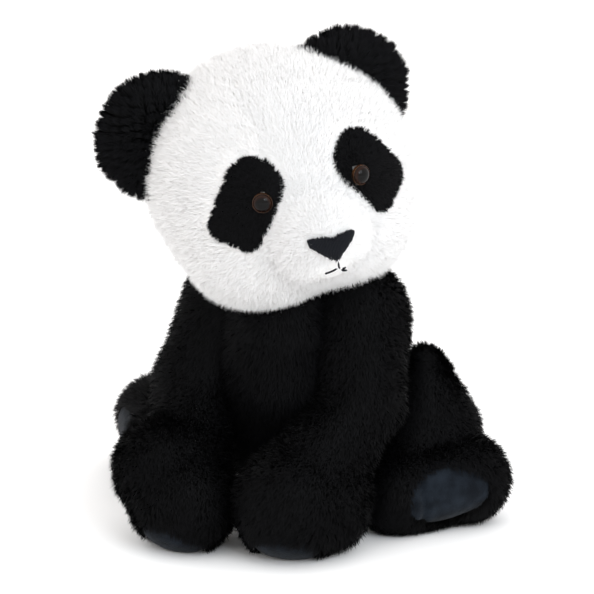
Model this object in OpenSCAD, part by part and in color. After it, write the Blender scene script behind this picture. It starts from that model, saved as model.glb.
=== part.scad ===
// Plush panda, sitting, head turned to its left.
// Millimetres. +Z is up and the body faces -Y, so +X is the animal's left side.
// The origin is the centre of the flat seat, on the surface that the toy sits on.
// Every solid ends at the cloth: the pile of the fur stands outside it.

/* [Cloth] */
// Thickness of the fur fabric's backing
cloth = 1.6; // [1:0.1:2.4]
// Thickness of the suede pads
suede = 1.0; // [0.6:0.1:1.4]
// Gap kept between two soft pieces
gap = 0.4; // [0.3:0.05:0.8]

/* [Torso] */
// Height of the torso along its own axis
torso_h = 150; // [140:1:156]
// Largest radius of the torso
torso_r = 48; // [44:1:49]
// Radius of the flat seat
seat_r = 33; // [30:1:34]
// Forward lean of the torso in degrees
torso_lean = 9; // [6:1:11]
// Radius of the stuffed neck
neck_r = 23; // [20:1:24]

/* [Head] */
// Half width of the head
head_half_w = 73; // [68:1:74]
// Radius of the head seen from the side
head_r = 67; // [63:1:68]
// Turn of the head to its left in degrees
head_yaw = 43; // [30:1:50]
// Downward tilt of the face in degrees
head_pitch = 4; // [0:1:8]
// Sideways lean of the head in degrees
head_roll = 12; // [6:1:14]
// Half width of the forehead gusset
gusset_half_w = 20; // [16:1:24]
// Radius of the ears
ear_r = 30; // [27:1:31]
// Diameter of the safety eyes
eye_d = 11; // [9:0.5:12]

/* [Limbs] */
// Radius of a front leg at the shoulder
shoulder_r = 26; // [24:1:27]
// Radius of a front leg at the elbow
elbow_r = 21; // [19:1:22]
// Radius of a front paw
paw_r = 29; // [26:1:29]
// Radius of a haunch
haunch_r = 30; // [27:1:31]
// Radius of a hind foot at the toes
toe_r = 22; // [20:1:23]

/* [Hidden] */
$fn = 48;

LEFT = 1;
RIGHT = -1;
arc_step = 15;               // degrees between the points of a turned outline
far = 400;                   // longer than anything in the model

// Where the pieces are
neck_at = [0, -28, 150];
head_at = [-1, -36, 202];
tail_root = [0, 42, 37];
tail_tip = [0, 59, 34];
tail_r = 11;
function shoulder(side) = [side == LEFT ? 42 : -38, -22, 118];
function elbow(side) = [side == LEFT ? 54 : -50, -46, 78];
function ball_r(side) = side == LEFT ? paw_r : paw_r - 3;
function paw(side) = side == LEFT ? [34, -92, paw_r + suede] : [-29, -105, paw_r - 3 + suede];
function wrist(side) = side == LEFT ? [44, -79, paw_r] : [-44, -98, 41];
wrist_r = paw_r - 2;
function hip(side) = [side * 66, 17, haunch_r + 12];
function knee(side) = [side * 66, 17, 86];
knee_r = 8;
heel_r = toe_r - 2;
function heel(side) = side == LEFT ? [70, -30, heel_r + 1] : [-88, -16, heel_r + 1];
function toe(side) = side == LEFT ? [98, 3, toe_r + 4] : [-111, 24, toe_r + 7];
arm_lean = 58;               // degrees below the horizon that the front legs point

// Places on the face, in the head's own frame: x to its left, y backwards, z up
eye_x = 28;
eye_z = 10;
muzzle_from = [0, -28, -17];
muzzle_to = [0, -53, -17];
muzzle_from_r = 38;
muzzle_to_r = 28;
cheek_at = [27, -16, -30];
cheek_r = 36;
ear_lift = 38;               // degrees of the ears above the head's sideways axis
ear_back = 9;                // distance of the ears behind the head's middle
ear_half_t = 7;

black = [0.03, 0.03, 0.035];
white = [0.93, 0.93, 0.92];
slate = [0.12, 0.14, 0.18];
fibre = [0.96, 0.96, 0.94];

// ---------- helpers ----------

// Points of an arc about (0, at_z), as [radius, height]
function arc(r, at_z, from, to) =
    let (steps = max(1, ceil(abs(to - from) / arc_step)))
    [for (i = [0:steps]) let (a = from + (to - from) * i / steps) [r * cos(a), at_z + r * sin(a)]];

// Turns children made along +Z so that they run from point a to point b
module aimed(a, b) {
    d = b - a;
    translate(a)
        rotate([0, acos(d.z / norm(d)), atan2(d.y, d.x)])
            children();
}

// A tapered capsule, the shape of a stuffed tube: round ends of radius ra at a and rb at b
module stuffed_tube(a, b, ra, rb) {
    long = norm(b - a);
    lean = asin((ra - rb) / long);
    aimed(a, b)
        rotate_extrude()
            polygon(concat(arc(ra, 0, -90, lean), arc(rb, long, lean, 90)));
}

module in_head() {
    translate(head_at)
        rotate([0, 0, head_yaw])
            rotate([head_pitch, 0, 0])
                rotate([0, -head_roll, 0])
                    children();
}

function mirrored(p, side) = [side * p.x, p.y, p.z];

// ---------- torso ----------

// Radius of the torso at a share of its height
function torso_at(t) = torso_r * sin(38 + 118 * pow(t, 0.9));

module torso_form(inset = 0) {
    steps = 12;
    translate([0, 0, -4])
        rotate([torso_lean, 0, 0])
            rotate_extrude()
                polygon(concat(
                    [[0, inset]],
                    [for (i = [0:steps])
                        let (t = i / steps)
                        [max(4, torso_at(t) - inset), inset + t * (torso_h - 2 * inset)]],
                    [[0, torso_h - inset]]));
}

// What the legs, the tail and the neck take out of the torso
module torso_hollows(room) {
    for (side = [LEFT, RIGHT]) {
        stuffed_tube(elbow(side), paw(side), elbow_r + room, paw_r + room);
        swing_recess(side, room);
        stuffed_tube(hip(side), knee(side), haunch_r + room, knee_r + room);
    }
    translate(tail_root) sphere(tail_r + room);
    translate(neck_at) sphere(neck_r + room);
}

// Room for a front leg to swing up and forwards about the shoulder's sideways axis
module swing_recess(side, room) {
    translate(shoulder(side))
        intersection() {
            rotate([0, side * 90, 0])
                rotate_extrude()
                    polygon([[0, -shoulder_r - room], [10, 1 - shoulder_r - room],
                             [46, 15 - shoulder_r - room], [72, 4 - shoulder_r - room],
                             [72, 60], [0, 60]]);
            rotate([arm_lean, 0, 0])
                translate([-far / 2, -far / 2, -shoulder_r - room])
                    cube(far);
        }
}

module above_floor(z = 0) {
    translate([-far / 2, -far / 2, z]) cube(far);
}

module torso_skin() {
    difference() {
        intersection() {
            torso_form();
            above_floor(suede);
        }
        intersection() {
            difference() {
                torso_form(cloth);
                torso_hollows(gap + cloth);
            }
            above_floor(suede);
        }
        torso_hollows(gap);
    }
}

// The black fur lies in front of and above a slanting seam, the white fur behind and below it
module seam_side(front) {
    translate([0, -50, 30])
        rotate([-38, 0, 0])
            translate([-far / 2, front ? -far : 0, -far / 2])
                cube(far);
}

module chest_cover() {
    color(black) intersection() { torso_skin(); seam_side(true); }
}

module rump_cover() {
    color(white) intersection() { torso_skin(); seam_side(false); }
}

module seat_panel() {
    color(white)
        cylinder(h = suede, r = seat_r);
}

bag_at = [0, 4, 22];
bag_r = 29;
bag_half_h = 14;

module pellet_bag_form(room = 0) {
    translate(bag_at)
        rotate_extrude()
            polygon(concat(
                [[0, -bag_half_h - room]],
                [for (p = arc(bag_half_h + room, 0, -90, 90)) [p.x + bag_r - bag_half_h, p.y]],
                [[0, bag_half_h + room]]));
}

module torso_stuffing() {
    color(fibre)
        difference() {
            intersection() {
                torso_form(cloth + 0.1);
                above_floor(suede + 0.1);
            }
            torso_hollows(gap + cloth + 0.1);
            pellet_bag_form(0.1);
        }
}

module seat_pellet_bag() {
    color("silver") pellet_bag_form();
}

// A row of ladder stitches up the middle of the back
module back_closing_stitches() {
    count = 9;
    color(white)
        translate([0, 0, -4])
            rotate([torso_lean, 0, 0])
                for (i = [0:count - 1]) {
                    t = 0.42 + 0.035 * i;
                    translate([0, torso_at(t) + 1.1, t * torso_h])
                        rotate([0, 90, 0])
                            cylinder(h = 5, d = 0.9, center = true, $fn = 16);
                }
}

// Thread that gathers the neck opening round the neck
module neck_seam_thread() {
    color(black)
        translate([neck_at.x, neck_at.y, neck_at.z - 9])
            rotate_extrude()
                translate([sqrt(pow(neck_r + gap + 0.6, 2) - 81), 0])
                    circle(d = 1.2, $fn = 16);
}

// A folded tape, sewn into the side seam of the rump, with nothing printed on it
module care_label() {
    long = 24;
    wide = 12;
    color("white")
        translate([-30, 31.4, 40])
            rotate([0, 0, 128])
                for (leaf = [0, 0.8])
                    translate([0, leaf, -wide / 2])
                        cube([long, 0.6, wide]);
}

// ---------- neck ----------

module neck_stuffing() {
    color(fibre)
        translate(neck_at) sphere(neck_r);
}

// ---------- head ----------

module head_form(inset = 0) {
    w = head_half_w - inset;
    r = head_r - inset;
    rotate([0, 90, 0])
        rotate_extrude()
            polygon([for (p = arc(1, 0, -90, 90)) [p.x * r, p.y * w]]);
    stuffed_tube(muzzle_from, muzzle_to, muzzle_from_r - inset, muzzle_to_r - inset);
    for (side = [LEFT, RIGHT])
        translate(mirrored(cheek_at, side)) sphere(cheek_r - inset);
}

neck_room = [150, 80];       // size of the hollow over the shoulders, from side to side and front to back
neck_room_top = 150;

// The hollow under the head that the neck and the shoulders stand in, with room to turn and nod
module under_head(room) {
    translate([neck_at.x, neck_at.y, neck_room_top + room])
        rotate([0, 0, 2.5])
            translate([-neck_room.x / 2 - room, -34 - room, -far])
                cube([neck_room.x + 2 * room, neck_room.y + 2 * room, far]);
    translate(neck_at) sphere(neck_r + gap + room);
}

module head_skin() {
    difference() {
        in_head() head_form();
        difference() {
            in_head() head_form(cloth);
            under_head(cloth);
        }
        under_head(0);
        for (side = [LEFT, RIGHT]) in_head() eye_shank(side, 0.1);
    }
}

module muzzle_region() {
    in_head()
        aimed(muzzle_from, muzzle_to)
            translate([0, 0, 16])
                cylinder(h = far, r = 36);
}

module gusset_region() {
    in_head() translate([-gusset_half_w, -far / 2, -far / 2]) cube([2 * gusset_half_w, far, far]);
}

module side_region(side) {
    in_head()
        translate([side == LEFT ? gusset_half_w : -gusset_half_w - far, -far / 2, -far / 2])
            cube(far);
}

module crown_gusset() {
    color(white)
        difference() {
            intersection() { head_skin(); gusset_region(); }
            muzzle_region();
        }
}

module face_panel(side) {
    color(white)
        difference() {
            intersection() { head_skin(); side_region(side); }
            muzzle_region();
        }
}

module muzzle_cover() {
    color(white) intersection() { head_skin(); muzzle_region(); }
}

module head_stuffing() {
    color(fibre)
        difference() {
            in_head() head_form(cloth + 0.1);
            under_head(cloth + 0.1);
            for (side = [LEFT, RIGHT]) in_head() {
                eye_shank(side, 0.1);
                eye_washer_form(side, 0.1);
            }
        }
}

// ---------- eyes ----------

eye_y = -sqrt(1 - pow(eye_x / head_half_w, 2)) * head_r;
eye_turn = 20;
shank_d = 4.5;
shank_long = 16;
washer_d = 13;

// The frame of one eye: z runs straight out of the face
module at_eye(side) {
    translate([side * eye_x, eye_y + 1.2, eye_z])
        rotate([90, 0, side * eye_turn])
            children();
}

module eye_shank(side, room = 0) {
    at_eye(side)
        translate([0, 0, -shank_long])
            cylinder(h = shank_long + 0.6, d = shank_d + 2 * room, $fn = 32);
}

module eye_washer_form(side, room = 0) {
    at_eye(side)
        translate([0, 0, -8 - room])
            cylinder(h = 1.6 + 2 * room, d = washer_d + 2 * room);
}

module patch_form(side) {
    in_head()
        at_eye(side)
            translate([side * 8, 0, -20])
                rotate([0, 0, side * 40])
                    linear_extrude(height = 40)
                        polygon(concat(arc(19, 7, -8, 188), arc(16, -8, 188, 352)));
}

// Black fur sewn on round the eye, as thick as the cloth under it
module eye_patch(side) {
    color(black)
        intersection() {
            difference() {
                in_head() head_form(-cloth);
                in_head() head_form(-0.05);
                in_head() eye_shank(side, 0.1);
                in_head() at_eye(side) translate([0, 0, -2]) cylinder(h = 12, d = eye_d + 0.4);
            }
            patch_form(side);
        }
}

module eye_dome(side) {
    color([0.05, 0.03, 0.02])
        in_head()
            at_eye(side)
                translate([0, 0, 2.6])
                    intersection() {
                        translate([0, 0, 3.6 - eye_d * 0.56]) sphere(eye_d * 0.56);
                        cylinder(h = 10, d = eye_d);
                    }
}

// The painted back of the eye and its ribbed shank, one moulding
module eye_stem(side) {
    color([0.25, 0.12, 0.05])
        in_head() {
            at_eye(side) translate([0, 0, 0.6]) cylinder(h = 1.9, d = eye_d);
            difference() {
                eye_shank(side);
                at_eye(side)
                    for (i = [0:4])
                        translate([0, 0, -shank_long + 1 + 1.2 * i])
                            difference() {
                                cylinder(h = 0.5, d = shank_d + 1, $fn = 32);
                                cylinder(h = 0.5, d = shank_d - 0.6, $fn = 32);
                            }
            }
        }
}

module eye_washer(side) {
    color("white")
        difference() {
            in_head() eye_washer_form(side);
            in_head() eye_shank(side, 0.05);
        }
}

// ---------- nose and mouth ----------

nose_y = muzzle_to.y - muzzle_to_r;

// The frame of the nose: z runs straight out of the muzzle's tip
module at_nose() {
    translate([0, nose_y + 0.4, muzzle_to.z - 2])
        rotate([82, 0, 0])
            children();
}

module nose_embroidery() {
    color(slate)
        in_head()
            intersection() {
                difference() {
                    translate(muzzle_to) sphere(muzzle_to_r + 1.2);
                    translate(muzzle_to) sphere(muzzle_to_r + 0.05);
                }
                at_nose()
                    translate([0, 4, -12])
                        linear_extrude(height = 24)
                            polygon([[0, -12.5], [3.4, -10], [7.4, -4], [14.4, 0.5], [15, 3.4], [12.8, 5.2],
                                     [4.5, 3.8], [0, 2.4], [-4.5, 3.8], [-12.8, 5.2], [-15, 3.4],
                                     [-14.4, 0.5], [-7.4, -4], [-3.4, -10]]);
            }
}

// One upright stitch below the nose and the two stitches of the mouth
module mouth_stitches() {
    color(slate)
        in_head()
            intersection() {
                difference() {
                    translate(muzzle_to) sphere(muzzle_to_r + 0.9);
                    translate(muzzle_to) sphere(muzzle_to_r + 0.05);
                }
                at_nose()
                    translate([0, 0, -14]) {
                        translate([-0.5, -14.4, 0]) cube([1, 5.4, 24]);
                        for (side = [LEFT, RIGHT])
                            translate([side * 0.8, -14.8, 0])
                                rotate([0, 0, side == LEFT ? -28 : 208])
                                    translate([0, -0.5, 0])
                                        cube([8, 1, 24]);
                    }
            }
}

// ---------- ears ----------

ear_centre_out = head_r + 4;     // distance of an ear's middle from the head's middle
ear_fold_out = head_r + 8.8;     // distance of the line that an ear folds along

// The frame of one ear: x runs outwards from the head's middle, y backwards, z along the fold line
module at_ear(side) {
    translate([0, ear_back, 0])
        mirror([side == LEFT ? 0 : 1, 0, 0])
            rotate([0, -ear_lift, 0])
                children();
}

module ear_form() {
    intersection() {
        translate([ear_centre_out, 0, 0])
            rotate([90, 0, 0])
                rotate_extrude()
                    polygon([for (p = arc(1, 0, -90, 90)) [p.x * ear_r, p.y * ear_half_t]]);
        translate([ear_fold_out, -far / 2, -far / 2]) cube(far);
    }
    translate([ear_fold_out, 0, 0])
        cylinder(h = 2 * (ear_r - 7), r = 5, center = true);
}

// The two fur panels of an ear meet at a seam round its edge
module ear_panel(side, front) {
    color(black)
        in_head()
            at_ear(side)
                intersection() {
                    ear_form();
                    translate([-far / 2, front ? -far - 0.05 : 0.05, -far / 2]) cube(far);
                }
}

// ---------- front legs ----------

module front_leg_form(side, inset = 0) {
    stuffed_tube(shoulder(side), elbow(side), shoulder_r - inset, elbow_r - inset);
    stuffed_tube(elbow(side), paw(side), elbow_r - 1.5 - inset, ball_r(side) - 3 - inset);
    stuffed_tube(wrist(side), paw(side), wrist_r - inset, ball_r(side) - inset);
}

module front_leg_cover(side) {
    color(black)
        difference() {
            front_leg_form(side);
            front_leg_form(side, cloth);
        }
}

paw_pellets_r = 17;

module front_leg_stuffing(side) {
    color(fibre)
        difference() {
            front_leg_form(side, cloth + 0.1);
            translate(paw(side)) sphere(paw_pellets_r + 0.1);
        }
}

module front_paw_pellets(side) {
    color("silver")
        translate(paw(side)) sphere(paw_pellets_r);
}

// Suede on the sole of the paw, round the ball of it
module front_paw_pad(side) {
    color(slate)
        intersection() {
            difference() {
                stuffed_tube(wrist(side), paw(side), wrist_r + suede, ball_r(side) + suede);
                stuffed_tube(wrist(side), paw(side), wrist_r + 0.05, ball_r(side) + 0.05);
            }
            translate(paw(side))
                rotate([-28, 0, 0])
                    mirror([0, 0, 1])
                        cylinder(h = far, r = 20);
        }
}

// ---------- hind legs ----------

module hind_leg_form(side, inset = 0) {
    stuffed_tube(hip(side), knee(side), haunch_r - inset, knee_r - inset);
    stuffed_tube(hip(side), toe(side), haunch_r - 8 - inset, toe_r - 3 - inset);
    stuffed_tube(hip(side), heel(side), haunch_r - 6 - inset, heel_r - 3 - inset);
    stuffed_tube(heel(side), toe(side), heel_r - inset, toe_r - inset);
}

module hind_leg_cover(side) {
    color(black)
        difference() {
            hind_leg_form(side);
            hind_leg_form(side, cloth);
        }
}

foot_pellets_r = 12;

module hind_leg_stuffing(side) {
    color(fibre)
        difference() {
            hind_leg_form(side, cloth + 0.1);
            translate((heel(side) + toe(side)) / 2) sphere(foot_pellets_r + 0.1);
        }
}

module hind_foot_pellets(side) {
    color("silver")
        translate((heel(side) + toe(side)) / 2) sphere(foot_pellets_r);
}

// Suede sole: a long oval that wraps the outer and front side of the foot
module hind_foot_pad(side) {
    middle = (heel(side) + toe(side)) / 2;
    along = toe(side) - heel(side);
    color(slate)
        intersection() {
            difference() {
                stuffed_tube(heel(side), toe(side), heel_r + suede, toe_r + suede);
                stuffed_tube(heel(side), toe(side), heel_r + 0.05, toe_r + 0.05);
            }
            translate(middle)
                rotate([0, 0, atan2(along.y, along.x)])
                    rotate([side == LEFT ? 90 : -90, 0, 0])
                        linear_extrude(height = far)
                            polygon(concat([for (p = arc(15, 0, -90, 90)) [p.x + 15, p.y]],
                                           [for (p = arc(15, 0, 90, 270)) [p.x - 15, p.y]]));
        }
}

// ---------- tail ----------

module tail_form(inset = 0) {
    stuffed_tube(tail_root, tail_tip, tail_r - inset, tail_r + 2 - inset);
}

module tail_cover() {
    color(white) difference() { tail_form(); tail_form(cloth); }
}

module tail_stuffing() {
    color(fibre) tail_form(cloth + 0.1);
}

chest_cover();
rump_cover();
seat_panel();
torso_stuffing();
seat_pellet_bag();
back_closing_stitches();
neck_seam_thread();
care_label();
neck_stuffing();
crown_gusset();
face_panel(LEFT);  // left_face_panel
face_panel(RIGHT);  // right_face_panel
muzzle_cover();
head_stuffing();
eye_patch(LEFT);  // left_eye_patch
eye_patch(RIGHT);  // right_eye_patch
eye_dome(LEFT);  // left_eye_dome
eye_dome(RIGHT);  // right_eye_dome
eye_stem(LEFT);  // left_eye_stem
eye_stem(RIGHT);  // right_eye_stem
eye_washer(LEFT);  // left_eye_washer
eye_washer(RIGHT);  // right_eye_washer
nose_embroidery();
mouth_stitches();
ear_panel(LEFT, true);  // left_ear_front
ear_panel(RIGHT, true);  // right_ear_front
ear_panel(LEFT, false);  // left_ear_back
ear_panel(RIGHT, false);  // right_ear_back
front_leg_cover(LEFT);  // left_front_leg_cover
front_leg_cover(RIGHT);  // right_front_leg_cover
front_leg_stuffing(LEFT);  // left_front_leg_stuffing
front_leg_stuffing(RIGHT);  // right_front_leg_stuffing
front_paw_pellets(LEFT);  // left_front_paw_pellets
front_paw_pellets(RIGHT);  // right_front_paw_pellets
front_paw_pad(LEFT);  // left_front_paw_pad
front_paw_pad(RIGHT);  // right_front_paw_pad
hind_leg_cover(LEFT);  // left_hind_leg_cover
hind_leg_cover(RIGHT);  // right_hind_leg_cover
hind_leg_stuffing(LEFT);  // left_hind_leg_stuffing
hind_leg_stuffing(RIGHT);  // right_hind_leg_stuffing
hind_foot_pellets(LEFT);  // left_hind_foot_pellets
hind_foot_pellets(RIGHT);  // right_hind_foot_pellets
hind_foot_pad(LEFT);  // left_hind_foot_pad
hind_foot_pad(RIGHT);  // right_hind_foot_pad
tail_cover();
tail_stuffing();
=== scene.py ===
"""Plush panda, sitting on a pale floor with its head turned to its left.

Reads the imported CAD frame, makes a smooth cloth skin for each stuffed body, grows the pile of the
fur on it as real strands, and adds the eyes, the embroidery, the suede pads and the light.
Shapes are worked out in millimetres in the row frame and stored in metres.
"""

import math

import bpy
import numpy as np
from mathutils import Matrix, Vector


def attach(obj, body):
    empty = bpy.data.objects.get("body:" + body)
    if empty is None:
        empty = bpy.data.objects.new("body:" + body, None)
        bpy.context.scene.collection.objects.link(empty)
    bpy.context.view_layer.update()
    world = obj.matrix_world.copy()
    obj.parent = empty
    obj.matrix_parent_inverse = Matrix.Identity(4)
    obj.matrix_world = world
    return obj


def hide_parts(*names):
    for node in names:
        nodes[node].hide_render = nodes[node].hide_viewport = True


MM = 0.001
LEFT, RIGHT = 1, -1
SIDES = {"left": LEFT, "right": RIGHT}
rng = np.random.default_rng(11)

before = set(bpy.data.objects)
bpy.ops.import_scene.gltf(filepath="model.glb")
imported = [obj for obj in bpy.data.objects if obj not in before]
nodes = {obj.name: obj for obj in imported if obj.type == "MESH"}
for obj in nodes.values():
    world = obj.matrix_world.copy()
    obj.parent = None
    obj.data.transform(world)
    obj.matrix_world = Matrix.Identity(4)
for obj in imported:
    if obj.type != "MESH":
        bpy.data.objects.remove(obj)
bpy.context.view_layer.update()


# ---------------------------------------------------------------- places, as in part.scad

HEAD_AT = np.array([-1.0, -36.0, 202.0])
NECK_AT = np.array([0.0, -28.0, 150.0])
HEAD_YAW, HEAD_PITCH, HEAD_ROLL = 43, 4, 12
SKULL_R = np.array([73.0, 67, 67])
CHEEK_AT, CHEEK_R = np.array([27.0, -16, -30]), 36
GUSSET_HALF_W = 20
EAR_LIFT, EAR_BACK, EAR_OUT, EAR_R = 38, 9, 71, 30
EAR_HALF_THICK, EAR_DISH, EAR_DISH_R, EAR_FOOT = 7.5, 2.2, 15, 9
# how far the pile and the give of the cloth bring each ear from its place in part.scad
EAR_SHIFT = {LEFT: np.array([-9.5, -6, -8]), RIGHT: np.array([-5.0, 0, -6.5])}
SHOULDER = {LEFT: np.array([42.0, -22, 118]), RIGHT: np.array([-38.0, -22, 118])}
ELBOW = {LEFT: np.array([54.0, -46, 78]), RIGHT: np.array([-50.0, -46, 78])}
PAW = {LEFT: np.array([34.0, -92, 30]), RIGHT: np.array([-29.0, -105, 27])}
PAW_R = {LEFT: 29, RIGHT: 26}
SHOULDER_R, ELBOW_R, FOREARM_R, WRIST_R = 26, 21, 19.5, 27
WRIST = {LEFT: np.array([44.0, -79, 29]), RIGHT: np.array([-44.0, -98, 41])}
HEEL = {LEFT: np.array([70.0, -30, 21]), RIGHT: np.array([-88.0, -16, 21])}
TOE = {LEFT: np.array([98.0, 3, 26]), RIGHT: np.array([-111.0, 24, 29])}
EYE_AT = np.array([28.0, -60.7, 10.0])
EYE_TURN = 20
EYE_R = 5.5
NOSE_TIP = np.array([0.0, -81.0, -15.0])
# tubes: their two ends and the radii there
MUZZLE = (np.array([0.0, -28, -17]), np.array([0.0, -53, -17]), 38, 28)
CHEST = (np.array([2.0, -37, 112]), np.array([2.0, -38, 84]), 28, 27)
TAIL = (np.array([0.0, 42, 37]), np.array([0.0, 59, 34]), 11, 13)
TORSO_LEAN, TORSO_TALL, TORSO_R = 9, 150, 48
SEAT_Z, CHIN_Z = 1.0, 131.5


def turn(axis, degrees):
    c, s = math.cos(math.radians(degrees)), math.sin(math.radians(degrees))
    i, j = {"x": (1, 2), "y": (2, 0), "z": (0, 1)}[axis]
    m = np.eye(3)
    m[i, i] = m[j, j] = c
    m[i, j], m[j, i] = -s, s
    return m


HEAD_TURN = turn("z", HEAD_YAW) @ turn("x", HEAD_PITCH) @ turn("y", -HEAD_ROLL)


def to_head(p):
    return (p - HEAD_AT) @ HEAD_TURN


def from_head(q):
    return q @ HEAD_TURN.T + HEAD_AT


def hip(side):
    return np.array([66.0 * side, 17, 42])


def mirrored(at, side):
    """A place of the left side's head, or its mirror image for the right side."""
    return at * np.array([side, 1, 1])


# ---------------------------------------------------------------- shapes as signed distances


def length(v):
    return np.sqrt((v * v).sum(-1))


def unit(v):
    return v / np.maximum(length(v), 1e-9)[..., None]


def ball(p, centre, r):
    return length(p - centre) - r


def tube(p, a, b, ra, rb):
    """A stuffed tube: round ends of radius ra at a and rb at b, and the cone that touches both."""
    long = math.dist(a, b)
    v = p - a
    up = v @ ((b - a) / long)
    out = np.sqrt(np.maximum((v * v).sum(-1) - up * up, 0))
    s = (ra - rb) / long
    c = math.sqrt(1 - s * s)
    k = c * up - s * out
    side = c * out + s * up - ra
    beyond = np.where(k > c * long, np.hypot(out, up - long) - rb, side)
    return np.where(k < 0, np.hypot(out, up) - ra, beyond)


def join(a, b, soft):
    """The union of two shapes, with a fillet about soft wide."""
    h = np.clip(0.5 + 0.5 * (b - a) / soft, 0, 1)
    return b + (a - b) * h - soft * h * (1 - h)


def cut(a, b, soft):
    """Shape a with b taken out of it."""
    return -join(-a, b, soft)


def above(d, p, z, soft):
    """The part of a shape above a height."""
    return -join(-d, p[..., 2] - z, soft)


def ease(t):
    """Runs smoothly from 0 to 1 as t does."""
    t = np.clip(t, 0, 1)
    return t * t * (3 - 2 * t)


def lumps(p, size, seed):
    """Smooth unevenness from -1 to 1, as of hand-packed stuffing."""
    total = 0
    for i in range(3):
        k = unit(np.sin(np.array([1.7, 2.9, 4.3]) * (seed + 1.37 * i)) + 0.01)
        total = total + np.sin(p @ k * (2 * math.pi / size) * (0.8 + 0.3 * i) + seed * 2.1 + i)
    return total / 3


def muzzle_shape(q):
    return tube(q, *MUZZLE)


def skull_shape(q):
    d = (length(q / SKULL_R) - 1) * SKULL_R[1]
    for side in (LEFT, RIGHT):
        d = join(d, ball(q, mirrored(CHEEK_AT, side), CHEEK_R), 12)
    return d


SHOULDER_SWEEP = (-10, -2, 7, 15)     # degrees about the neck, as the head meets them in its turns


def shoulders_under_head(p):
    """The room that the chest and the shoulders take as the head turns."""
    d = ball(p, NECK_AT + np.array([0, 2, -8]), 30)
    for side in (LEFT, RIGHT):
        for degrees in SHOULDER_SWEEP:
            at = turn("z", degrees) @ (SHOULDER[side] - NECK_AT) + NECK_AT
            d = np.minimum(d, ball(p, at, 27))
    return d


SEAM_DENT, CLEFT_DEPTH, CROWN_FULLNESS = 0.5, 1.0, 5.0


def head_shape(p):
    q = to_head(p)
    d = join(skull_shape(q), muzzle_shape(q), 4)
    # the gusset's seams draw the forehead in a little, and a cleft runs down from the nose
    on_top = np.clip((q[..., 2] - 12) / 20, 0, 1)
    d = d + SEAM_DENT * on_top * np.exp(-(((np.abs(q[..., 0]) - GUSSET_HALF_W) / 3) ** 2))
    low = np.clip((-20 - q[..., 2]) / 8, 0, 1) * np.clip((-60 - q[..., 1]) / 10, 0, 1)
    d = d + CLEFT_DEPTH * low * np.exp(-((q[..., 0] / 2.5) ** 2))
    d = d + 0.7 * lumps(q, 62, 3)
    # the fur stands full over the crown, between the ears
    full = ease((q[..., 2] + 15) / 75) * ease((q[..., 1] + 66) / 40) * ease((48 - q[..., 0]) / 50)
    d = d - CROWN_FULLNESS * full
    return cut(above(d, p, CHIN_Z, 8), shoulders_under_head(p), 4)


def torso_shape(p):
    c, s = math.cos(math.radians(TORSO_LEAN)), math.sin(math.radians(TORSO_LEAN))
    up = (p[..., 2] + 4) * c - p[..., 1] * s
    back = p[..., 1] * c + (p[..., 2] + 4) * s
    t = np.clip(up / TORSO_TALL, 0, 1)
    around = np.sqrt(p[..., 0] ** 2 + back**2)
    d = 0.9 * (around - TORSO_R * np.sin(np.radians(38 + 118 * t**0.9)))
    d = np.maximum(d, up - (TORSO_TALL - 2))
    d = join(d, ball(p, NECK_AT + np.array([0, 2, -10]), 26), 8)
    d = join(d, tube(p, *CHEST), 14)
    d = d + 1.2 * lumps(p, 48, 5)
    return above(d, p, SEAT_Z, 3)


def front_leg_shape(side):
    def shape(p):
        d = tube(p, SHOULDER[side], ELBOW[side], SHOULDER_R, ELBOW_R)
        d = join(d, tube(p, ELBOW[side], PAW[side], FOREARM_R, PAW_R[side] - 3), 8)
        d = join(d, tube(p, WRIST[side], PAW[side], WRIST_R, PAW_R[side]), 8)
        # the pile stands full on top of the shoulder and between the paws
        d = join(d, ball(p, SHOULDER[side] + np.array([-1.0 * side, 1, 9]), SHOULDER_R - 3), 5)
        d = join(d, ball(p, PAW[side] - np.array([3.0 * side, 0, 1]), PAW_R[side]), 6)
        return above(d + 1.0 * lumps(p, 44, 7 + side), p, 0.8, 3)

    return shape


def hind_leg_shape(side):
    def shape(p):
        d = tube(p, hip(side), hip(side) + np.array([0, 0, 44]), 30, 8)
        d = join(d, tube(p, hip(side), TOE[side], 22, 19), 6)
        d = join(d, tube(p, hip(side), HEEL[side], 24, 18), 6)
        d = join(d, tube(p, HEEL[side], TOE[side], 20, 22), 3)
        return above(d + 0.8 * lumps(p, 40, 12 + side), p, 0.8, 3)

    return shape


def ear_frame(side):
    """Columns: outwards from the head, backwards, along the fold line. Then the ear's middle."""
    m = np.diag([side, 1.0, 1.0]) @ turn("y", -EAR_LIFT)
    middle = np.array([0, EAR_BACK, 0]) + m @ np.array([EAR_OUT, 0, 0]) + EAR_SHIFT[side]
    return m, middle


def to_ear(p, side):
    m, middle = ear_frame(side)
    return (to_head(p) - middle) @ m


def ear_shape(side):
    def shape(p):
        e = to_ear(p, side)
        flat = np.sqrt(e[..., 0] ** 2 + e[..., 2] ** 2)
        # the front is dished, the rim is full
        y = e[..., 1] - EAR_DISH * np.exp(-((flat / EAR_DISH_R) ** 2))
        d = (np.sqrt((flat / EAR_R) ** 2 + (y / EAR_HALF_THICK) ** 2) - 1) * EAR_HALF_THICK
        return np.maximum(d, -EAR_FOOT - e[..., 0])

    return shape


def tail_shape(p):
    return tube(p, *TAIL)


# ---------------------------------------------------------------- surfaces


def gradient(shape, p, step=0.4):
    g = [shape(p + e) - shape(p - e) for e in np.eye(3) * step]
    return np.stack(g, -1) / (2 * step)


def settle(shape, p, times):
    """Moves points onto the surface where shape is zero."""
    for _ in range(times):
        g = gradient(shape, p)
        p = p - shape(p)[:, None] * g / np.maximum((g * g).sum(-1), 0.25)[:, None]
    return p


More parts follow.
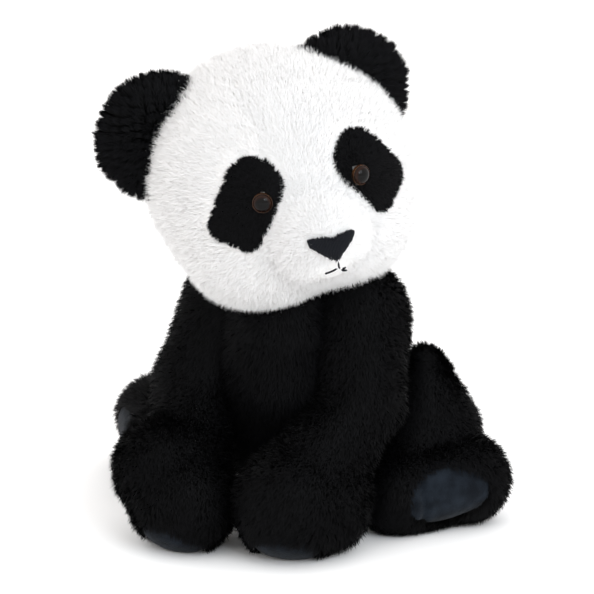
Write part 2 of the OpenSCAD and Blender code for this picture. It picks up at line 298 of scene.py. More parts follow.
def surface(shape, low, high, cell):
    """Vertices and quads of the surface where shape is zero, one vertex in each cell it crosses."""
    axes = [np.arange(a, b + cell, cell) for a, b in zip(low, high, strict=True)]
    grid = np.stack(np.meshgrid(*axes, indexing="ij"), -1)
    inside = shape(grid.reshape(-1, 3)).reshape(grid.shape[:3]) < 0
    n = [k - 1 for k in inside.shape]
    corners = sum(
        inside[i : n[0] + i, j : n[1] + j, k : n[2] + k].astype(int)
        for i in (0, 1)
        for j in (0, 1)
        for k in (0, 1)
    )
    crossed = (corners > 0) & (corners < 8)
    number = np.full(crossed.shape, -1)
    number[crossed] = np.arange(crossed.sum())
    points = settle(shape, grid[:-1, :-1, :-1][crossed] + cell / 2, 5)
    quads = []
    for axis in range(3):
        u, v = (axis + 1) % 3, (axis + 2) % 3
        e = np.eye(3, dtype=int)
        near = np.take(inside, range(n[axis]), axis)
        far = np.take(inside, range(1, n[axis] + 1), axis)
        at = np.argwhere(near != far)
        at = at[(at[:, u] > 0) & (at[:, v] > 0) & (at[:, u] < n[u]) & (at[:, v] < n[v])]
        around = ((0, 0), (1, 0), (1, 1), (0, 1))
        quad = np.stack([number[tuple((at - s * e[u] - t * e[v]).T)] for s, t in around], -1)
        outward = near[tuple(at.T)]
        quads.append(np.where(outward[:, None], quad, quad[:, ::-1]))
    return points, np.concatenate(quads)


def quad_areas(points, quads):
    a, b, c, d = (points[quads[:, i]] for i in range(4))
    return length(np.cross(c - a, d - b)) / 2


def scatter(points, quads, shape, count):
    """Random points spread evenly over a surface, with their normals."""
    a, b, c, d = (points[quads[:, i]] for i in range(4))
    area = quad_areas(points, quads)
    pick = rng.choice(len(quads), count, p=area / area.sum())
    s, t = rng.random((2, count, 1))
    p = (1 - s) * ((1 - t) * a[pick] + t * d[pick]) + s * ((1 - t) * b[pick] + t * c[pick])
    p = settle(shape, p, 1)
    return p, unit(gradient(shape, p))


# ---------------------------------------------------------------- meshes


def make_mesh(name, points, polygons, uv, normals, material):
    """polygons is a list of arrays, each of polygons with the same number of corners."""
    mesh = bpy.data.meshes.new(name)
    corners = np.concatenate([f.ravel() for f in polygons]).astype(np.int32)
    sizes = np.concatenate([np.full(len(f), f.shape[1]) for f in polygons])
    starts = np.concatenate([[0], np.cumsum(sizes)[:-1]]).astype(np.int32)
    mesh.vertices.add(len(points))
    mesh.vertices.foreach_set("co", (points * MM).astype(np.float32).ravel())
    mesh.loops.add(len(corners))
    mesh.loops.foreach_set("vertex_index", corners)
    mesh.polygons.add(len(sizes))
    mesh.polygons.foreach_set("loop_start", starts)
    mesh.polygons.foreach_set("use_smooth", np.ones(len(sizes), bool))
    mesh.update(calc_edges=True)
    layer = mesh.uv_layers.new(name="OFBake")
    layer.data.foreach_set("uv", uv[corners].astype(np.float32).ravel())
    if normals is not None:
        mesh.normals_split_custom_set_from_vertices(normals.tolist())
    mesh.materials.append(material)
    ob = bpy.data.objects.new(name, mesh)
    bpy.context.scene.collection.objects.link(ob)
    return ob


def clumped(tips, roots, size, pull):
    """Draws the tips of neighbouring strands together into locks."""
    wavy = roots + 0.35 * size * lumps(roots, size * 3, 1)[:, None]
    cell = np.floor(wavy / size).astype(np.int64)
    _, lock = np.unique(cell @ np.array([1, 4096, 4096**2]), return_inverse=True)
    lock = lock.ravel()
    number = np.bincount(lock)
    middle = np.stack([np.bincount(lock, tips[:, i]) / number for i in range(3)], -1)
    strength = pull * rng.uniform(0.5, 1.0, len(number))
    return tips + (middle[lock] - tips) * strength[lock][:, None]


ROOT_DEPTH = 0.4      # how deep a strand's root is set in the cloth
FLOOR_GAP = 0.15      # how close a strand comes to the floor


def pile(roots, normals, flow, style, shorten):
    """The strands of a fur, straight ridged ones or bent blades: points, triangles, UVs, normals.

    In the UVs, u is a random number for each strand and v runs from its root to its tip.
    """
    n = len(roots)
    lie = flow - (flow * normals).sum(-1)[:, None] * normals
    lie = unit(lie) + style["stray"] * rng.normal(size=(n, 3))
    lean = math.radians(style["lean"]) * rng.uniform(0.75, 1.2, n)[:, None]
    way = unit(normals * np.cos(lean) + lie * np.sin(lean))
    long = style["length"] * rng.uniform(0.72, 1.12, n)[:, None] * shorten[:, None]
    long = long * (1 + style["uneven"] * lumps(roots, 17, 4))[:, None]
    tips = roots + way * long
    tips = tips + style["droop"] * long * (unit(lie) * 0.5 - np.array([0, 0, 0.5]))
    tips = clumped(tips, roots, style["lock"], style["pull"])
    roots = roots - ROOT_DEPTH * normals
    across = unit(np.cross(tips - roots, normals + 0.2 * rng.normal(size=(n, 3))))
    above_it = unit(np.cross(across, tips - roots))
    wide = style["width"] * rng.uniform(0.8, 1.2, n)[:, None]
    chance = rng.random(n)
    if style["straight"]:
        ridge = roots + 0.32 * wide * above_it
        points = np.stack([roots - wide / 2 * across, roots + wide / 2 * across, ridge, tips], 1)
        shape = np.array([[0, 2, 3], [2, 1, 3], [1, 0, 3]])
        v = [0, 0, 0, 1]
    else:
        bend = roots + (tips - roots) * 0.5 + normals * long * 0.13
        points = np.stack(
            [roots - wide / 2 * across, roots + wide / 2 * across,
             bend - wide * 0.42 * across, bend + wide * 0.42 * across, tips], 1
        )
        shape = np.array([[0, 1, 3], [0, 3, 2], [2, 3, 4]])
        v = [0, 0, 0.5, 0.5, 1]
    k = points.shape[1]
    points[..., 2] = np.maximum(points[..., 2], FLOOR_GAP)
    triangles = (np.arange(n)[:, None, None] * k + shape).reshape(-1, 3)
    uv = np.stack([np.repeat(chance, k), np.tile(v, n)], -1)
    soft = unit(normals + style["turn_normals"] * way + 0.08 * rng.normal(size=(n, 3)))
    return points.reshape(-1, 3), triangles, uv, np.repeat(soft, k, 0)


WHITE_PILE = {
    "length": 5.6, "width": 0.58, "lean": 64, "stray": 0.60, "uneven": 0.10, "droop": 0.0,
    "lock": 1.8, "pull": 0.12, "straight": True, "turn_normals": 0.0, "density": 4.6,
}
BLACK_PILE = {
    "length": 6.6, "width": 0.48, "lean": 50, "stray": 0.45, "uneven": 0.14, "droop": 0.03,
    "lock": 2.6, "pull": 0.34, "straight": False, "turn_normals": 0.3, "density": 3.4,
}
EAR_PILE = {
    **BLACK_PILE, "length": 11.0, "lean": 36, "lock": 4.2, "pull": 0.8, "density": 5.0, "droop": 0.0,
}
PATCH_PILE = {
    **BLACK_PILE, "length": 3.6, "width": 0.45, "lean": 52, "lock": 2.2, "pull": 0.35, "density": 6.0,
    "uneven": 0.1, "droop": 0.0,
}
TAIL_PILE = {**WHITE_PILE, "length": 8.0, "pull": 0.4, "lock": 3.6}
RUMP_PILE = {**WHITE_PILE, "length": 6.5}
MOST_TRIANGLES = 190_000

skins = {}


def skin(name, shape, low, high, cell):
    skins[name] = (shape, *surface(shape, low, high, cell))


def grow(node, body, skin_name, region, flow, style, material,
         bare=0.0, others=(), trim=None):
    """One fur panel: the part of a skin where region holds, with its pile. It stands for that CAD node.

    The panel is raised by bare over the skin. Where it presses on one of the other shapes, its pile is
    flattened short. The function trim gives the share of its length that the pile keeps at each root.
    """
    shape, points, quads = skins[skin_name]
    middles = points[quads].mean(1)
    mine = quads[region(middles)]
    used, back = np.unique(mine, return_inverse=True)
    cloth = points[used]
    cloth_quads = back.reshape(mine.shape)
    cloth_normals = unit(gradient(shape, cloth))
    cloth = cloth + bare * cloth_normals
    cloth[:, 2] = np.maximum(cloth[:, 2], 0.1)
    room = (MOST_TRIANGLES - 2 * len(mine)) // 3
    count = int(min(style["density"] * quad_areas(points, mine).sum(), room))
    roots, normals = scatter(points, mine, shape, count)
    keep = region(roots)
    roots, normals = roots[keep], normals[keep]
    shorten = np.ones(len(roots))
    for other in others:
        shorten = np.minimum(shorten, np.clip(0.62 + other(roots) / 9, 0.3, 1))
    if trim is not None:
        shorten = shorten * trim(roots)
    fur = pile(roots + bare * normals, normals, flow(roots), style, shorten)
    cloth_uv = np.stack([rng.random(len(cloth)), np.full(len(cloth), 0.12)], -1)
    ob = make_mesh(
        node.replace("_cover", "") + "_fur",
        np.concatenate([cloth, fur[0]]),
        [cloth_quads, fur[1] + len(cloth)],
        np.concatenate([cloth_uv, fur[2]]),
        np.concatenate([cloth_normals, fur[3]]),
        material,
    )
    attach(ob, body)
    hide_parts(node)


# ---------------------------------------------------------------- materials


def principled(name, colour, roughness, **extra):
    m = bpy.data.materials.new(name)
    m.use_nodes = True
    shader = m.node_tree.nodes["Principled BSDF"]
    shader.inputs["Base Color"].default_value = (*colour, 1)
    shader.inputs["Roughness"].default_value = roughness
    for socket, value in extra.items():
        shader.inputs[socket.replace("_", " ")].default_value = value
    return m


def ramp_material(name, stops, roughness, spread=0.0, **extra):
    """A material whose colour runs over the UV's y, and differs by spread over its x."""
    m = principled(name, (1, 1, 1), roughness, **extra)
    tree = m.node_tree
    new, link = tree.nodes.new, tree.links.new
    uv = new("ShaderNodeUVMap")
    uv.uv_map = "OFBake"
    parts = new("ShaderNodeSeparateXYZ")
    link(uv.outputs["UV"], parts.inputs[0])
    ramp = new("ShaderNodeValToRGB")
    ramp.color_ramp.interpolation = "LINEAR"
    while len(ramp.color_ramp.elements) < len(stops):
        ramp.color_ramp.elements.new(0.5)
    for element, (at, colour) in zip(ramp.color_ramp.elements, stops, strict=True):
        element.position = at
        element.color = (*colour, 1)
    link(parts.outputs["Y"], ramp.inputs["Fac"])
    vary = new("ShaderNodeMapRange")
    vary.inputs["To Min"].default_value = 1 - spread
    vary.inputs["To Max"].default_value = 1 + spread
    link(parts.outputs["X"], vary.inputs["Value"])
    scale = new("ShaderNodeVectorMath")
    scale.operation = "SCALE"
    link(ramp.outputs["Color"], scale.inputs[0])
    link(vary.outputs["Result"], scale.inputs["Scale"])
    link(scale.outputs["Vector"], tree.nodes["Principled BSDF"].inputs["Base Color"])
    return m


white_fur = ramp_material(
    "white fur", [(0, (0.90, 0.88, 0.86)), (0.4, (0.94, 0.93, 0.92)), (1, (0.97, 0.97, 0.97))],
    0.85, spread=0.015, Specular_IOR_Level=0.2,
)
# the black fur is painted lighter and bluer towards its tips: a painted sheen that stands for lit fibre
# tips
black_fur = ramp_material(
    "black fur",
    [(0, (0.0011, 0.0011, 0.0012)), (0.5, (0.0018, 0.0018, 0.0021)), (1, (0.0042, 0.0043, 0.0054))],
    0.6, spread=0.35, Specular_IOR_Level=0.07, Sheen_Weight=0.008, Sheen_Roughness=0.5,
)


def textured(name, dark, light, roughness, spots, grain, depth,
             pattern="NOISE", where="Object", **extra):
    """A material mottled from dark to light, with a raised grain. Sizes are textures per unit."""
    m = principled(name, light, roughness, **extra)
    tree = m.node_tree
    new, link = tree.nodes.new, tree.links.new
    shader = tree.nodes["Principled BSDF"]
    place = new("ShaderNodeTexCoord").outputs[where]
    mottle = new("ShaderNodeTexNoise")
    mottle.inputs["Scale"].default_value = spots
    mottle.inputs["Detail"].default_value = 3
    link(place, mottle.inputs["Vector"])
    colours = new("ShaderNodeMix")
    colours.data_type = "RGBA"
    colours.inputs["A"].default_value = (*dark, 1)
    colours.inputs["B"].default_value = (*light, 1)
    spread = new("ShaderNodeMapRange")
    spread.inputs["From Min"].default_value = 0.32
    spread.inputs["From Max"].default_value = 0.68
    link(mottle.outputs["Fac"], spread.inputs["Value"])
    link(spread.outputs["Result"], colours.inputs["Factor"])
    link(colours.outputs["Result"], shader.inputs["Base Color"])
    bump = new("ShaderNodeBump")
    bump.inputs["Strength"].default_value = 0.8
    bump.inputs["Distance"].default_value = depth
    if pattern == "WEAVE":
        height = new("ShaderNodeMath")
        height.operation = "MULTIPLY"
        for i, direction in enumerate(("X", "Z" if where == "Object" else "Y")):
            wave = new("ShaderNodeTexWave")
            wave.bands_direction = direction
            wave.inputs["Scale"].default_value = grain
            link(place, wave.inputs["Vector"])
            link(wave.outputs["Fac"], height.inputs[i])
        link(height.outputs["Value"], bump.inputs["Height"])
    elif pattern == "TWIST":
        wave = new("ShaderNodeTexWave")
        wave.bands_direction = "DIAGONAL"
        wave.inputs["Scale"].default_value = grain
        link(place, wave.inputs["Vector"])
        link(wave.outputs["Fac"], bump.inputs["Height"])
    elif pattern == "BEADS":
        beads = new("ShaderNodeTexVoronoi")
        beads.inputs["Scale"].default_value = grain
        link(place, beads.inputs["Vector"])
        link(beads.outputs["Distance"], bump.inputs["Height"])
    else:
        fine = new("ShaderNodeTexNoise")
        fine.inputs["Scale"].default_value = grain
        fine.inputs["Detail"].default_value = 5
        link(place, fine.inputs["Vector"])
        link(fine.outputs["Fac"], bump.inputs["Height"])
    link(bump.outputs["Normal"], shader.inputs["Normal"])
    return m


suede = textured("suede", (0.003, 0.0045, 0.007), (0.010, 0.014, 0.020), 0.92, 130, 1100, 0.0006,
                 Specular_IOR_Level=0.10, Sheen_Weight=0.06, Sheen_Roughness=0.4)
thread = textured("dark thread", (0.002, 0.003, 0.005), (0.006, 0.007, 0.012), 0.50, 300, 9, 0.0002,
                  "TWIST", "UV", Specular_IOR_Level=0.13, Sheen_Weight=0.015)
white_thread = textured("white thread", (0.74, 0.73, 0.70), (0.88, 0.88, 0.86), 0.6, 400, 900, 0.0002,
                        "TWIST")
tape = textured("woven tape", (0.78, 0.77, 0.75), (0.90, 0.90, 0.89), 0.8, 200, 420, 0.00015, "WEAVE")
seat_cloth = textured("seat cloth", (0.72, 0.71, 0.69), (0.86, 0.85, 0.84), 0.9, 60, 260, 0.0003,
                      "WEAVE")
stuffing = textured("stuffing", (0.80, 0.80, 0.78), (0.93, 0.93, 0.92), 1.0, 60, 500, 0.002)
pellets = textured("pellet pouch", (0.48, 0.48, 0.47), (0.70, 0.70, 0.69), 0.7, 90, 330, 0.0012,
                   "BEADS")
washer = textured("washer", (0.74, 0.74, 0.72), (0.86, 0.86, 0.85), 0.4, 150, 2500, 0.00003)
eye_back = textured("eye back", (0.05, 0.02, 0.008), (0.12, 0.05, 0.02), 0.35, 250, 2500, 0.00002)
# from the pupil, over the brown ring, to the rim
eye_glass = ramp_material(
    "eye", [(0, (0.001, 0.001, 0.001)), (0.60, (0.0015, 0.001, 0.001)), (0.72, (0.006, 0.002, 0.001)),
            (0.86, (0.017, 0.005, 0.002)), (0.95, (0.004, 0.002, 0.001)), (1, (0.001, 0.001, 0.001))],
    0.05, Specular_IOR_Level=0.14,
)

# ---------------------------------------------------------------- the torso

skin("torso", torso_shape, (-56, -76, -4), (56, 56, 182), 2.6)


SEAM_SLANT = 38


def in_front_of_seam(p):
    """The black yoke lies above and in front of a slanting seam."""
    s, c = math.sin(math.radians(SEAM_SLANT)), math.cos(math.radians(SEAM_SLANT))
    return (p[:, 1] + 50) * c - (p[:, 2] - 30) * s < 0


def downwards(p):
    return np.tile([0.0, -0.15, -1.0], (len(p), 1))


legs = [front_leg_shape(LEFT), front_leg_shape(RIGHT), hind_leg_shape(LEFT), hind_leg_shape(RIGHT)]
neighbours = [*legs, head_shape]

grow("chest_cover", "torso", "torso", in_front_of_seam, downwards, {**BLACK_PILE, "length": 9.5},
     black_fur, others=neighbours)
grow("rump_cover", "torso", "torso", lambda p: ~in_front_of_seam(p), downwards, RUMP_PILE,
     white_fur, others=neighbours)

# ---------------------------------------------------------------- the legs

ROUND_IT = 34      # what a leg's thickness adds round its middle line, at the most
for name, side in SIDES.items():
    low = np.minimum(PAW[side], SHOULDER[side]) - ROUND_IT
    high = np.maximum(ELBOW[side], SHOULDER[side]) + ROUND_IT
    low[0], high[0] = sorted((side * -6, side * 84))
    skin(name + "_front", front_leg_shape(side), low, high, 2.4)
    low_x, high_x = sorted((side * 28, side * 144))
    skin(name + "_hind", hind_leg_shape(side), (low_x, -58, -2), (high_x, 58, 102), 2.4)

PAW_PAD_TILT, PAW_PAD_R = 28, 20


def paw_pad_region(side):
    tilt = math.radians(PAW_PAD_TILT)
    way = np.array([0, -math.sin(tilt), -math.cos(tilt)])

    def region(p, grow_by=0.0):
        v = p - PAW[side]
        along = v @ way
        return (along > 0) & (length(v - along[:, None] * way) < PAW_PAD_R + grow_by)

    return region


def sole_frame(side):
    """The sole's middle, and its directions: along the foot, up, and out of the sole."""
    along = unit(TOE[side] - HEEL[side])
    out = unit(np.array([along[1] * side, -along[0] * side, 0.0]))
    return (HEEL[side] + TOE[side]) / 2, along, np.cross(along, out) * side, out


SOLE_HALF_H, SOLE_STRETCH = 17, 1.62


def sole_region(side):
    middle, along, up, out = sole_frame(side)

    def region(p, grow_by=0.0):
        v = p - middle
        x, y = v @ along, v @ up
        return (v @ out > 0) & (np.hypot(x / SOLE_STRETCH, y) < SOLE_HALF_H + grow_by)

    return region


EDGE_STEPS = (0.5, 1.5, 2.5, 4.0, 6.0)      # from a pad's edge inwards, where it gains its height
CREASE_DEPTH, CREASE_HALF_W = 2.0, 1.8
CREASE_AT = 16                              # from the sole's middle towards the heel


def pad(node, body, skin_name, region, rise, crease=None):
    """A suede pad: a piece of skin raised a little, its edge turned in, perhaps with a sewn crease."""
    shape, points, quads = skins[skin_name]
    mine = quads[region(points[quads].mean(1), 0.5)]
    used, back = np.unique(mine, return_inverse=True)
    cloth = points[used]
    normals = unit(gradient(shape, cloth))
    height = rise * np.mean([region(cloth, -inset) for inset in EDGE_STEPS], axis=0)
    if crease is not None:
        height = height - CREASE_DEPTH * np.exp(-((crease(cloth) / CREASE_HALF_W) ** 2))
    cloth = cloth + height[:, None] * normals
    cloth[:, 2] = np.maximum(cloth[:, 2], 0.05)
    uv = (cloth[:, :2] - cloth[:, :2].min(0)) / 60
    ob = make_mesh(node + "_suede", cloth, [back.reshape(mine.shape)], uv, None, suede)
    smooth = ob.modifiers.new("finer", "SUBSURF")
    smooth.levels = smooth.render_levels = 2
    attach(ob, body)
    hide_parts(node)


for name, side in SIDES.items():
    paw = paw_pad_region(side)
    sole = sole_region(side)

    def along_arm(p, side=side):
        low = np.clip((ELBOW[side][2] - p[:, 2]) / 20, 0, 1)[:, None]
        upper = unit(ELBOW[side] - SHOULDER[side])
        lower = unit(PAW[side] - ELBOW[side])
        return upper * (1 - low) + lower * low

    def along_hind(p, side=side):
        return unit(p - hip(side) - np.array([0, 6, 30])) + np.array([0, -0.2, -0.3])

    others = [torso_shape, head_shape]
    grow(f"{name}_front_leg_cover", f"{name}_front_leg", f"{name}_front",
         lambda p, paw=paw: ~paw(p, -2.0), along_arm, BLACK_PILE, black_fur,
         others=[*others, hind_leg_shape(side)])
    grow(f"{name}_hind_leg_cover", f"{name}_hind_leg", f"{name}_hind",
         lambda p, sole=sole: ~sole(p, -2.0), along_hind, {**BLACK_PILE, "length": 7.0}, black_fur,
         others=[*others, front_leg_shape(side)])
    middle, along, _, _ = sole_frame(side)
    pad(f"{name}_front_paw_pad", f"{name}_front_leg", f"{name}_front", paw, 1.6)
    pad(f"{name}_hind_foot_pad", f"{name}_hind_leg", f"{name}_hind", sole, 2.4,
        lambda p, middle=middle, along=along: (p - middle) @ along + CREASE_AT)

# ---------------------------------------------------------------- the tail

skin("tail", tail_shape, (-16, 26, 18), (16, 76, 52), 2.2)
grow("tail_cover", "tail", "tail", lambda p: p[:, 1] > 36,
     lambda p: unit(p - np.array([0, 36.0, 37])) + np.array([0, 0.6, -0.3]), TAIL_PILE,
     white_fur)

# ---------------------------------------------------------------- the head

skin("head", head_shape, (-90, -136, 118), (92, 46, 280), 2.6)


def eye_plane(p, side):
    """Across, up and out of the face, measured from an eye."""
    e = (to_head(p) - mirrored(EYE_AT, side)) @ turn("z", side * EYE_TURN)
    return e[..., 0], e[..., 2], -e[..., 1]


PATCH_TILT = {LEFT: 35, RIGHT: 31}     # degrees that the top of a patch leans towards the nose
PATCH_OUT, PATCH_UP = 8.8, -0.5
PATCH_HALF_W, PATCH_HALF_H = 14.2, 24
PATCH_TOP_ROUND, PATCH_LOW_ROUND = 13, 8
FAR = 99                               # of what is on the other side of the head


def from_patch(p, side):
    """Distance of points of the head outside an eye patch, negative on it."""
    x, y, out = eye_plane(p, side)
    tilt = side * math.radians(PATCH_TILT[side])
    c, s = math.cos(tilt), math.sin(tilt)
    x, y = x - PATCH_OUT * side, y - PATCH_UP
    u, v = x * c + y * s, y * c - x * s
    corner = np.where(v > 0, PATCH_TOP_ROUND, PATCH_LOW_ROUND)
    beyond = np.stack([np.maximum(np.abs(u) - PATCH_HALF_W + corner, 0),
                       np.maximum(np.abs(v) - PATCH_HALF_H + corner, 0)], -1)
    d = np.maximum(length(beyond) - corner, 3.5 - muzzle_shape(to_head(p)))
    return np.where(out > -22, d, FAR)


def patch_region(p, side, grow_by=0.0):
    return from_patch(p, side) < grow_by


def any_patch(p):
    return patch_region(p, LEFT) | patch_region(p, RIGHT)


MOUTH_AT, MOUTH_R = np.array([0.8, -75.0, -36.0]), 9
SHORTEST = 0.25       # share of its length that the clipped pile keeps


def trim_face(p):
    """The white pile is clipped near the eye patches and round the mouth, so as not to hide them."""
    d = np.minimum(from_patch(p, LEFT), from_patch(p, RIGHT))
    d = np.minimum(d, length(to_head(p) - MOUTH_AT) - MOUTH_R)
    return np.clip(SHORTEST + d / 7, SHORTEST, 1)


MUZZLE_SEAM_Y, MUZZLE_SEAM_R = -44, 36


def in_muzzle(p):
    q = to_head(p)
    return (q[:, 1] < MUZZLE_SEAM_Y) & (q[:, 0] ** 2 + (q[:, 2] + 17) ** 2 < MUZZLE_SEAM_R**2)


def eye_socket(p):
    return np.logical_or.reduce([
        (np.hypot(*eye_plane(p, side)[:2]) < EYE_R - 0.6) & (eye_plane(p, side)[2] > -8)
        for side in (LEFT, RIGHT)
    ])


def panel(low_x, high_x):
    def region(p):
        x = to_head(p)[:, 0]
        return (x >= low_x) & (x < high_x) & ~in_muzzle(p) & ~any_patch(p)

    return region


def away_from_nose(p):
    return (to_head(p) - NOSE_TIP) @ HEAD_TURN.T


def away_from_eye(side):
    at = from_head(mirrored(EYE_AT, side))
    return lambda p: unit(p - at) + np.array([0, 0, -0.4])


HEAD_NODES = {
    "crown_gusset": panel(-GUSSET_HALF_W, GUSSET_HALF_W),
    "left_face_panel": panel(GUSSET_HALF_W, math.inf),
    "right_face_panel": panel(-math.inf, -GUSSET_HALF_W),
    "muzzle_cover": lambda p: in_muzzle(p) & ~any_patch(p),
}
for node, region in HEAD_NODES.items():
    grow(node, "head", "head", region, away_from_nose, WHITE_PILE, white_fur,
         others=[torso_shape, *legs[:2]], trim=trim_face)
for name, side in SIDES.items():
    grow(f"{name}_eye_patch", "head", "head",
         lambda p, side=side: patch_region(p, side, 0.8) & ~eye_socket(p), away_from_eye(side),
         PATCH_PILE, black_fur, bare=0.7)

# ---------------------------------------------------------------- the ears

for name, side in SIDES.items():
    m, middle = ear_frame(side)
    centre = from_head(middle + m @ np.array([12.0, 0, 0]))
    skin(name + "_ear", ear_shape(side), centre - 42, centre + 42, 1.6)
    base = from_head(middle - m @ np.array([6.0, 0, 0]))

    def outwards(p, base=base):
        return unit(p - base)

    grow(f"{name}_ear_front", f"{name}_ear", f"{name}_ear",
         lambda p, side=side: to_ear(p, side)[:, 1] < 0, outwards, EAR_PILE, black_fur)
    grow(f"{name}_ear_back", f"{name}_ear", f"{name}_ear",
         lambda p, side=side: to_ear(p, side)[:, 1] >= 0, outwards, EAR_PILE, black_fur)

# ---------------------------------------------------------------- the eyes


def turned(profile, around):
    """The surface of a turned outline, given as (radius, height) from its middle outwards."""
    points, uv = [], []
    for i, (r, h) in enumerate(profile):
        for j in range(around):
            b = 2 * math.pi * j / around
            points.append([r * math.cos(b), r * math.sin(b), h])
            uv.append([j / around, i / (len(profile) - 1)])
    i, j = np.meshgrid(np.arange(len(profile) - 1), np.arange(around), indexing="ij")
    nxt = (j + 1) % around
    ring, following = i * around, (i + 1) * around
    quads = np.stack([ring + j, following + j, following + nxt, ring + nxt], -1)
    return np.array(points), quads.reshape(-1, 4), np.array(uv)


EYE_DOME_H, EYE_DOME_FOOT = 3.9, 1.6
EYE_DOME_RINGS, EYE_DOME_ANGLE = 20, 92


def eye_dome(name, side):
    """A domed cap. v in its UVs runs from the middle of the pupil to the rim."""
    last = math.radians(EYE_DOME_ANGLE)
    angles = [last * i / EYE_DOME_RINGS for i in range(EYE_DOME_RINGS + 1)]
    profile = [(EYE_R * math.sin(a) + 0.01, EYE_DOME_H * math.cos(a) + EYE_DOME_FOOT) for a in angles]
    points, quads, uv = turned(profile, 56)
    uv[:, 1] = np.minimum(1, np.hypot(points[:, 0], points[:, 1]) / EYE_R)
    m = turn("z", side * EYE_TURN) @ turn("x", 90)
    at = points @ m.T + mirrored(EYE_AT, side)
    ob = make_mesh(f"{name}_eye", from_head(at), [quads], uv, None, eye_glass)
    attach(ob, "head")
    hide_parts(f"{name}_eye_dome")


for name, side in SIDES.items():
    eye_dome(name, side)

# ---------------------------------------------------------------- the nose and the mouth


def stitches(name, node, lines, radius):
    """Threads laid along lines of points of the head, as one mesh of round tubes."""
    sides = 7
    points, quads, uv = [], [], []
    for line in lines:
        line = np.array(line)
        n = len(line)
        along = unit(np.gradient(line, axis=0))
        out = unit(line - HEAD_AT)
        across = unit(np.cross(along, out))
        out = np.cross(across, along)
        t = np.linspace(0, 1, n)
        r = radius * np.sqrt(np.clip(1 - (2 * t - 1) ** 8, 0.02, 1))
        start = len(points)
        for k in range(n):
            for j in range(sides):
                a = 2 * math.pi * j / sides
                points.append(line[k] + r[k] * (math.cos(a) * across[k] + math.sin(a) * out[k]))
                uv.append([j / sides, t[k]])
        for k in range(n - 1):
            for j in range(sides):
                a, b = start + k * sides + j, start + k * sides + (j + 1) % sides
                quads.append([a, b, b + sides, a + sides])
    ob = make_mesh(name, np.array(points), [np.array(quads)], np.array(uv), None, thread)
    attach(ob, "head")
    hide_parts(node)


NOSE_TURN = turn("x", 82)
NOSE_MIDDLE = np.array([0.8, -80.6, -21.3])
NOSE_HALF_W = 14.8
NOSE_THREAD_STEP, NOSE_THREAD_R = 0.8, 0.5
NOSE_LAYERS = ((0, 1.6), (1, 2.4))      # sideways shift in half steps, and height
NOSE_UNEVEN = 0.35
MOUTH_THREAD_R = 0.55
MOUTH_TOP, MOUTH_FORK = -11.0, -18.2    # heights where the upright stitch starts and ends
MOUTH_STROKES = {LEFT: (8.5, 6.5), RIGHT: (4.0, 1.5)}      # how far each goes out and down


def on_muzzle(x, y, height):
    """A point of the nose's plane, set down on the muzzle at a height over its cloth."""
    q = NOSE_MIDDLE + NOSE_TURN @ np.array([x, y + 4, 4.0])
    p = settle(head_shape, from_head(q[None]), 6)
    return (p + height * unit(gradient(head_shape, p)))[0]


def nose_top(x):
    return 6.2 - 0.07 * x - 1.2 * math.exp(-((x / 2.8) ** 2)) - 0.05 * max(0, abs(x) - 11) ** 2


def nose_bottom(x):
    return -12.5 + 14.0 * (abs(x) / NOSE_HALF_W) ** 0.8


lines = []
for layer, height in NOSE_LAYERS:
    for x in np.arange(-14.4, 14.41, NOSE_THREAD_STEP) + NOSE_THREAD_STEP / 2 * layer:
        top, bottom = np.array([nose_top(x), nose_bottom(x)]) + rng.normal(0, NOSE_UNEVEN, 2)
        if top - bottom < 0.6:
            continue
        line = []
        for t in np.linspace(0, 1, 8):
            swell = math.sin(math.pi * min(max(t, 0.04), 0.96)) ** 0.5
            edge = 1 - (abs(x) / 16) ** 4
            y = top + (bottom - top) * t
            line.append(on_muzzle(x * (1 - 0.06 * t), y, height * swell * edge + 2.6))
        lines.append(line)
stitches("nose", "nose_embroidery", lines, NOSE_THREAD_R)

upright = np.linspace(MOUTH_TOP, MOUTH_FORK, 6)
mouth = [[on_muzzle(0, y, 5.0) for y in upright]]
for side, (out, down) in MOUTH_STROKES.items():
    mouth.append([
        on_muzzle(side * (0.2 + out * t), MOUTH_FORK - down * t, 4.6) for t in np.linspace(0, 1, 8)
    ])
stitches("mouth", "mouth_stitches", mouth, MOUTH_THREAD_R)

# ---------------------------------------------------------------- the label


def care_label():
    """A blank tape folded in half, its ends sewn into the rump."""
    long, wide, thick = 24, 12, 0.3
    parts = 40
    root = np.array([-30.0, 31.4, 40])
    heading = math.radians(128)
    out = np.array([math.cos(heading), math.sin(heading), 0])
    side = np.array([-out[1], out[0], 0])
    middle = []
    for t in np.linspace(-1, 1, parts + 1):
        s = 1 - abs(t) ** 3
        middle.append(root + out * long * (1 - t * t) + side * 0.55 * np.sign(t) * (1 - s * 0.4)
                      + np.array([0, 0, -5 * (1 - t * t) ** 2]))
    middle = np.array(middle)
    along = unit(np.gradient(middle, axis=0))
    up = np.array([0, 0, 1.0])
    normal = unit(np.cross(along, up))
    points, uv = [], []
    for k, m in enumerate(middle):
        for h, n in ((-1, -1), (1, -1), (1, 1), (-1, 1)):
            points.append(m + up * h * wide / 2 + normal[k] * n * thick / 2)
            uv.append([k / parts, (h + 1) / 2])
    quads = []
    for k in range(parts):
        for j in range(4):
            a, b = 4 * k + j, 4 * k + (j + 1) % 4
            quads.append([a, b, b + 4, a + 4])
    quads += [[3, 2, 1, 0], [4 * parts + i for i in range(4)]]
    ob = make_mesh("care_label_tape", np.array(points), [np.array(quads)], np.array(uv), None, tape)
    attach(ob, "torso")
    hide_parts("care_label")


care_label()


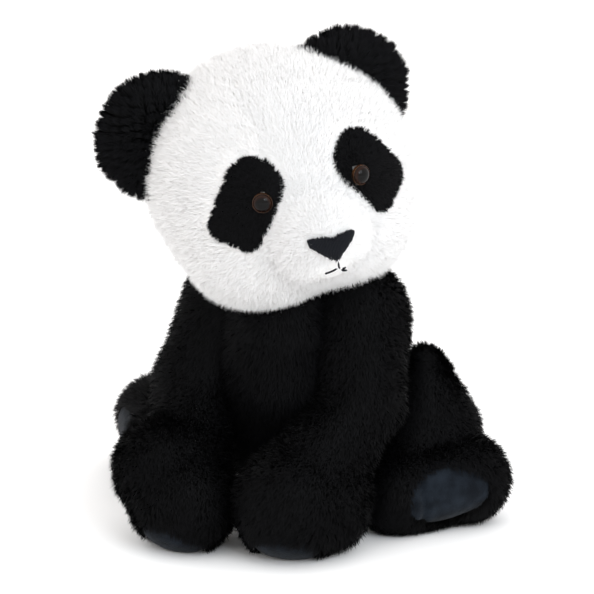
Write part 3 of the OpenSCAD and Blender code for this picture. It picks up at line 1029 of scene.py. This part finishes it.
def seat_panel():
    """The round of cloth that the toy sits on, its edge rolled under into the seam."""
    profile = [
        (0.01, 0.35), (14, 0.3), (24, 0.12), (29, 0.05), (31.5, 0.25), (32.8, 0.8), (33, 1.5), (31, 2.2),
    ]
    points, quads, uv = turned(profile, 72)
    ob = make_mesh("seat_panel_cloth", points, [quads[:, ::-1]], uv, None, seat_cloth)
    smooth = ob.modifiers.new("finer", "SUBSURF")
    smooth.levels = smooth.render_levels = 1
    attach(ob, "torso")
    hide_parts("seat_panel")


seat_panel()

# ---------------------------------------------------------------- CAD nodes that show as they are

FINISHES = {"back_closing_stitches": white_thread, "neck_seam_thread": white_thread}
for node, ob in nodes.items():
    if node in FINISHES:
        finish = FINISHES[node]
    elif "stuffing" in node:
        finish = stuffing
    elif "pellet" in node:
        finish = pellets
    elif node.endswith("washer"):
        finish = washer
    elif node.endswith("stem"):
        finish = eye_back
    else:
        continue
    ob.data.materials.clear()
    ob.data.materials.append(finish)

# ---------------------------------------------------------------- floor, light and camera

bpy.ops.mesh.primitive_plane_add(size=6, location=(0, 0, 0))
floor = bpy.context.object
floor.name = "floor"
floor.data.materials.append(principled("floor", (0.95, 0.95, 0.95), 0.9, Specular_IOR_Level=0.1))

SKY_COLOUR, SKY_STRENGTH = (1, 0.985, 0.975, 1), 1.46
DAYLIGHT = (0.85, 0.93, 1.0)

scene = bpy.context.scene
scene.view_settings.view_transform = "Standard"
world = bpy.data.worlds.new("studio")
world.use_nodes = True
world.node_tree.nodes["Background"].inputs["Color"].default_value = SKY_COLOUR
world.node_tree.nodes["Background"].inputs["Strength"].default_value = SKY_STRENGTH
scene.world = world


def area_light(name, place, aim, size, power):
    data = bpy.data.lights.new(name, "AREA")
    data.shape = "RECTANGLE"
    data.size, data.size_y = size
    data.energy = power
    data.color = DAYLIGHT
    ob = bpy.data.objects.new(name, data)
    ob.location = place
    ob.rotation_euler = (Vector(aim) - Vector(place)).to_track_quat("-Z", "Y").to_euler()
    scene.collection.objects.link(ob)


area_light("window", (1.15, -0.75, 0.95), (0, -0.03, 0.17), (0.8, 0.8), 7)
area_light("catch light", (0.95, -1.15, 0.85), (0, -0.1, 0.2), (0.14, 0.20), 2.6)

AZIMUTH, ELEVATION = 25, 15
DISTANCE = 2.0                            # from the camera to the head and the paws
IN_FRONT = 0.085                          # how far they are in front of the row's origin
VIEW_WIDTH = 332.64 * MM                  # what the view spans at that distance
AIM_RIGHT, AIM_UP = -6.72 * MM, 117.6 * MM    # the view's middle, seen from the row's origin
a, e = math.radians(AZIMUTH), math.radians(ELEVATION)
back = Vector((math.sin(a) * math.cos(e), -math.cos(a) * math.cos(e), math.sin(e)))
right = Vector((math.cos(a), math.sin(a), 0))
up = back.cross(right)
centre = right * AIM_RIGHT + up * AIM_UP
camera = bpy.data.cameras.new("camera")
camera.lens = camera.sensor_width * DISTANCE / VIEW_WIDTH
camera.clip_end = 20
camera_object = bpy.data.objects.new("camera", camera)
camera_object.location = centre + back * (DISTANCE + IN_FRONT)
camera_object.rotation_euler = back.to_track_quat("Z", "Y").to_euler()
scene.collection.objects.link(camera_object)
scene.camera = camera_object
